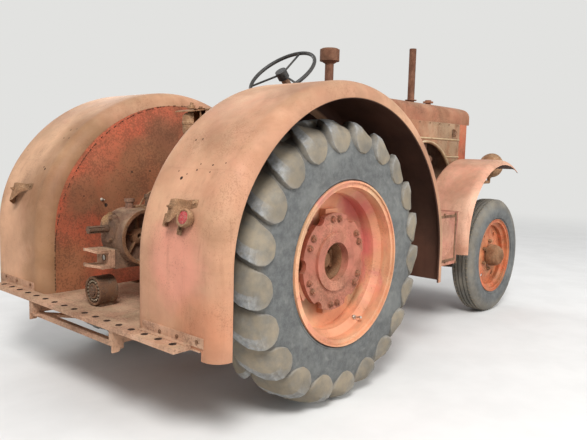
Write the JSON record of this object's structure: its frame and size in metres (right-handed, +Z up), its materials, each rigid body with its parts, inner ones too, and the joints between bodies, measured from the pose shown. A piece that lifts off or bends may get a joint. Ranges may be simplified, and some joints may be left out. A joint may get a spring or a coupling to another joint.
{
  "type": "vintage farm tractor",
  "caption": "Vintage standard farm tractor with full rear fenders, steered front wheels, drawbar rail, hitch jaw and power take-off.",
  "frame": {"origin": "on the ground under the middle of the tractor's outer box", "axes": "+X forward along the tractor, +Y to its left, +Z up"},
  "size_m": [3.5426, 1.802, 1.9201],
  "materials": {
    "iron_rusty": "rusty and dusty casting",
    "rusty_steel": "rust with remains of paint",
    "bare_steel": "worn bare steel",
    "tyre_rubber": "dusty and weathered",
    "paint_wheel": "faded orange-red paint with rust",
    "paint_fender": "sun-bleached tan-orange paint with rust",
    "paint_wall": "orange-red paint with dark stains",
    "paint_hood_top": "reddish brown, weathered",
    "paint_hood_side": "bare primer with rust",
    "paint_shell": "faded orange paint",
    "black_plastic": "worn black"
  },
  "bodies": {
    "chassis": {"gearbox": "iron_rusty", "axle_tubes": "iron_rusty", "engine": "iron_rusty", "front_bolster": "iron_rusty", "front_axle": "iron_rusty", "left_fender": "paint_fender", "right_fender": "paint_fender", "fender_backs": "paint_fender", "fender_walls": "paint_wall", "front_fenders": "paint_fender", "hood_top": "paint_hood_top", "hood_sides": "paint_hood_side", "radiator_shell": "paint_shell", "grille": "paint_shell", "radiator_core": "iron_rusty", "cowl": "paint_hood_top", "stacks": "rusty_steel", "headlamps": "rusty_steel", "engine_fittings": "iron_rusty", "deck_plates": "rusty_steel", "drawbar": "rusty_steel", "hitch_jaw": "rusty_steel", "ball_bearing": "rusty_steel", "lamp_brackets": "rusty_steel", "rear_lamps": "rusty_steel", "seat": "rusty_steel", "controls": "rusty_steel", "steering_column": "rusty_steel", "side_boxes": "rusty_steel"},
    "rear_left_wheel": {"rear_left_tyre": "tyre_rubber", "rear_left_rim": "paint_wheel", "rear_left_centre": "paint_wheel", "rear_left_hub": "iron_rusty"},
    "rear_right_wheel": {"rear_right_tyre": "tyre_rubber", "rear_right_rim": "paint_wheel", "rear_right_centre": "paint_wheel", "rear_right_hub": "iron_rusty"},
    "left_knuckle": {"left_knuckle": "iron_rusty"},
    "right_knuckle": {"right_knuckle": "iron_rusty"},
    "front_left_wheel": {"front_left_tyre": "tyre_rubber", "front_left_wheel": "paint_wheel", "front_left_hub": "iron_rusty"},
    "front_right_wheel": {"front_right_tyre": "tyre_rubber", "front_right_wheel": "paint_wheel", "front_right_hub": "iron_rusty"},
    "pitman": {"pitman_arm": "iron_rusty"},
    "left_tie_rod": {"left_tie_rod": "iron_rusty"},
    "right_tie_rod": {"right_tie_rod": "iron_rusty"},
    "steering_wheel": {"steering_wheel": "black_plastic"},
    "pto_shaft": {"pto_shaft": "bare_steel"},
    "left_box_lid": {"left_box_lid": "paint_wall"},
    "right_box_lid": {"right_box_lid": "paint_wall"}
  },
  "joints": [
    {"name": "rear_left_wheel_spin", "type": "hinge", "parent": "chassis", "child": "rear_left_wheel", "pos_m": [-0.87125, 0.71, 0.655], "axis": [0, 1, 0], "continuous": true},
    {"name": "rear_right_wheel_spin", "type": "hinge", "parent": "chassis", "child": "rear_right_wheel", "pos_m": [-0.87125, -0.71, 0.655], "axis": [0, 1, 0], "continuous": true},
    {"name": "left_steer", "type": "hinge", "parent": "chassis", "child": "left_knuckle", "pos_m": [1.34875, 0.415, 0.4225], "axis": [0, 0, 1], "range_deg": [-30, 30]},
    {"name": "right_steer", "type": "hinge", "parent": "chassis", "child": "right_knuckle", "pos_m": [1.34875, -0.415, 0.4225], "axis": [0, 0, 1], "range_deg": [-30, 30]},
    {"name": "front_left_wheel_spin", "type": "hinge", "parent": "left_knuckle", "child": "front_left_wheel", "pos_m": [1.34875, 0.53, 0.4225], "axis": [0, 1, 0], "continuous": true},
    {"name": "front_right_wheel_spin", "type": "hinge", "parent": "right_knuckle", "child": "front_right_wheel", "pos_m": [1.34875, -0.53, 0.4225], "axis": [0, 1, 0], "continuous": true},
    {"name": "pitman_turn", "type": "hinge", "parent": "chassis", "child": "pitman", "pos_m": [1.16875, 0, 0.357], "axis": [0, 0, 1], "range_deg": [-30, 30]},
    {"name": "left_tie_rod_turn", "type": "hinge", "parent": "left_knuckle", "child": "left_tie_rod", "pos_m": [1.19875, 0.415, 0.357], "axis": [0, 0, 1], "range_deg": [-30, 30]},
    {"name": "right_tie_rod_turn", "type": "hinge", "parent": "right_knuckle", "child": "right_tie_rod", "pos_m": [1.19875, -0.415, 0.357], "axis": [0, 0, 1], "range_deg": [-30, 30]},
    {"name": "steering_wheel_turn", "type": "hinge", "parent": "chassis", "child": "steering_wheel", "pos_m": [-0.40525, 0, 1.605], "axis": [-0.6691, 0, 0.7431], "range_deg": [-450, 450]},
    {"name": "pto_spin", "type": "hinge", "parent": "chassis", "child": "pto_shaft", "pos_m": [-1.57125, 0, 0.78], "axis": [1, 0, 0], "continuous": true},
    {"name": "left_lid_hinge", "type": "hinge", "parent": "chassis", "child": "left_box_lid", "pos_m": [0.30875, 0.338, 0.805], "axis": [1, 0, 0], "range_deg": [0, 95]},
    {"name": "right_lid_hinge", "type": "hinge", "parent": "chassis", "child": "right_box_lid", "pos_m": [0.30875, -0.338, 0.805], "axis": [-1, 0, 0], "range_deg": [0, 95]}
  ],
  "couplings": [
    {"joint": "right_steer", "follows": "left_steer", "ratio": 1},
    {"joint": "pitman_turn", "follows": "left_steer", "ratio": 1},
    {"joint": "left_tie_rod_turn", "follows": "left_steer", "ratio": -1},
    {"joint": "right_tie_rod_turn", "follows": "left_steer", "ratio": -1},
    {"joint": "steering_wheel_turn", "follows": "left_steer", "ratio": 15}
  ]
}
